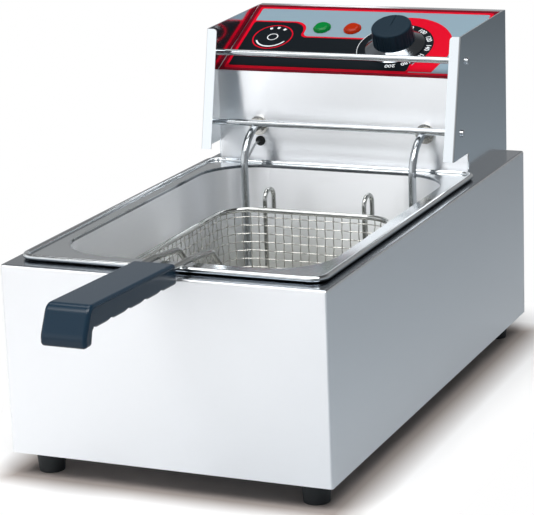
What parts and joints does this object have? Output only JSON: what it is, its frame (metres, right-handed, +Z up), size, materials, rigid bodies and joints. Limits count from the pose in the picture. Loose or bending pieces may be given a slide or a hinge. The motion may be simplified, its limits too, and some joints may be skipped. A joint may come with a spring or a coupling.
{
  "type": "deep fryer",
  "caption": "Countertop electric deep fryer: steel casing on rubber feet, lift-out oil tank and wire basket with handle, heating element and sloped control head with knob and lamps.",
  "frame": {"origin": "on the table, under the middle of the whole object's box", "axes": "+X to the right seen from the handle, +Y from the handle's tip to the rear, +Z up"},
  "size_m": [0.28, 0.672, 0.3137],
  "materials": {
    "casing_steel": "satin sheet stainless",
    "tank_steel": "drawn satin stainless",
    "head_steel": "bright sheet stainless",
    "bright_rod": "polished bar",
    "fastener": "plated",
    "foot_rubber": "matt moulded",
    "grip_plastic": "satin moulded heat-proof plastic",
    "knob_plastic": "moulded",
    "overlay_print": "printed film",
    "green_lens": "clear tinted lens",
    "orange_lens": "clear tinted lens",
    "lamp_plastic": "moulded",
    "thermostat_case": "moulded phenolic",
    "element_sheath": "drawn stainless tube",
    "boss_brass": "nickel plated",
    "capillary_steel": "drawn stainless tube",
    "basket_wire": "plated wire",
    "grommet_rubber": "moulded",
    "terminal_plastic": "moulded",
    "wire_silicone": "silicone sleeve",
    "gland_nylon": "moulded nylon"
  },
  "bodies": {
    "casing": {"casing_shell": "casing_steel", "base_plate": "casing_steel", "rubber_feet": "foot_rubber", "foot_screws": "fastener", "foot_nuts": "fastener", "locating_bushes": "fastener"},
    "tank": {"oil_tank": "tank_steel"},
    "head": {"head_base": "head_steel", "head_pins": "fastener", "head_side_right": "head_steel", "head_side_left": "head_steel", "head_front_panel": "head_steel", "head_rear_cover": "head_steel", "rear_cover_screws": "fastener", "rod_upper": "bright_rod", "rod_lower": "bright_rod", "rod_screws": "fastener", "control_overlay": "overlay_print", "green_lamp_lens": "green_lens", "orange_lamp_lens": "orange_lens", "lamp_bodies": "lamp_plastic", "lamp_nuts": "lamp_plastic", "thermostat_body": "thermostat_case", "thermostat_screws": "fastener", "heating_element": "element_sheath", "element_bosses": "boss_brass", "element_nuts": "boss_brass", "element_terminals": "boss_brass", "thermostat_bulb": "capillary_steel", "bulb_clips": "tank_steel", "capillary_tube": "capillary_steel", "capillary_grommet": "grommet_rubber", "terminal_block": "terminal_plastic", "internal_wiring": "wire_silicone", "earth_screw": "fastener", "cable_gland": "gland_nylon", "gland_locknut": "gland_nylon"},
    "basket": {"basket_mesh": "basket_wire", "basket_rim": "basket_wire", "basket_hooks": "basket_wire", "handle_wires": "basket_wire", "handle_grip": "grip_plastic"},
    "knob": {"knob": "knob_plastic", "knob_skirt": "bright_rod", "thermostat_shaft": "fastener"}
  },
  "joints": [
    {"name": "tank_lift", "type": "slide", "parent": "casing", "child": "tank", "axis": [0, 0, 1], "range_m": [0, 0.16]},
    {"name": "head_lift", "type": "slide", "parent": "tank", "child": "head", "axis": [0, 0, 1], "range_m": [0, 0.18]},
    {"name": "basket_lift", "type": "slide", "parent": "head", "child": "basket", "axis": [0, 0, 1], "range_m": [0, 0.22]},
    {"name": "knob_turn", "type": "hinge", "parent": "head", "child": "knob", "pos_m": [0.039, 0.25065, 0.28526], "axis": [0, 0.4107, -0.9118], "range_deg": [0, 270]}
  ]
}
